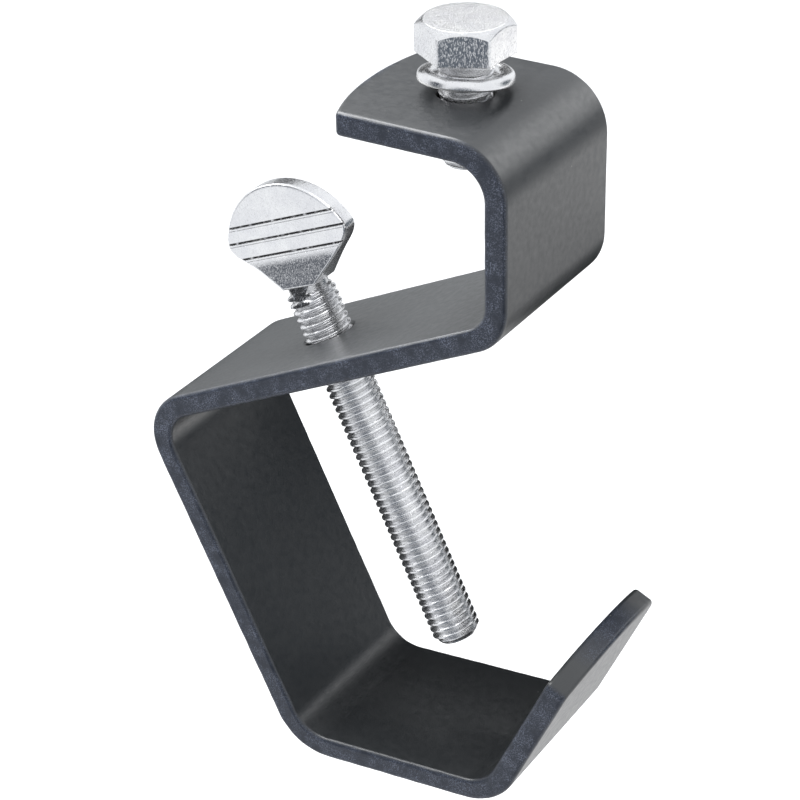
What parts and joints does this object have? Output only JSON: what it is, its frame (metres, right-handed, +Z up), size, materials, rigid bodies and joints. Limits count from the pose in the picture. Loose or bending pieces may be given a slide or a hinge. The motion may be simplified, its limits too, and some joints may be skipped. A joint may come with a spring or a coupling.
{
  "type": "pipe clamp",
  "caption": "Bent flat bar hook clamp that hangs a luminaire from a pipe, with a spade head thumb screw and a bracket bolt with a lock washer.",
  "frame": {"origin": "on the axis of a 48.3 mm pipe seated in the hook, halfway across the bar", "axes": "+Z up from the hook to the bracket, +X towards the hook's open side, +Y along the pipe"},
  "size_m": [0.0952, 0.0382, 0.1584],
  "materials": {
    "paint": "satin black paint",
    "zinc": "bright zinc plate"
  },
  "bodies": {
    "hook": {"hook_strip": "paint"},
    "thumb_screw_feed": {"thumb_screw_tip": "zinc"},
    "thumb_screw": {"thumb_screw": "zinc"},
    "hex_bolt_feed": {"hex_bolt_tip": "zinc"},
    "hex_bolt": {"hex_bolt": "zinc"},
    "lock_washer": {"lock_washer": "zinc"}
  },
  "joints": [
    {"name": "screw_feed", "type": "slide", "parent": "hook", "child": "thumb_screw_feed", "axis": [0.4242, 0, -0.9056], "range_m": [-0.0615, 0.009]},
    {"name": "screw_turn", "type": "hinge", "parent": "thumb_screw_feed", "child": "thumb_screw", "pos_m": [-0.02721, 0, 0.05303], "axis": [0.4242, 0, -0.9056], "range_deg": [-14761, 2161]},
    {"name": "bolt_feed", "type": "slide", "parent": "hook", "child": "hex_bolt_feed", "axis": [0, 0, -1], "range_m": [-0.0013, 0.0039]},
    {"name": "bolt_turn", "type": "hinge", "parent": "hex_bolt_feed", "child": "hex_bolt", "pos_m": [0.00184, 0, 0.11371], "axis": [0, 0, -1], "range_deg": [-313, 937]},
    {"name": "washer_settle", "type": "hinge", "parent": "hook", "child": "lock_washer", "pos_m": [0.00109, 0.00861, 0.11401], "axis": [0.9962, 0.0872, 0], "range_deg": [-2.84, 8.51]}
  ],
  "couplings": [
    {"joint": "screw_turn", "follows": "screw_feed", "rad_per_m": 4188.8},
    {"joint": "bolt_turn", "follows": "bolt_feed", "rad_per_m": 4188.8},
    {"joint": "washer_settle", "follows": "bolt_feed", "rad_per_m": 38.039}
  ]
}
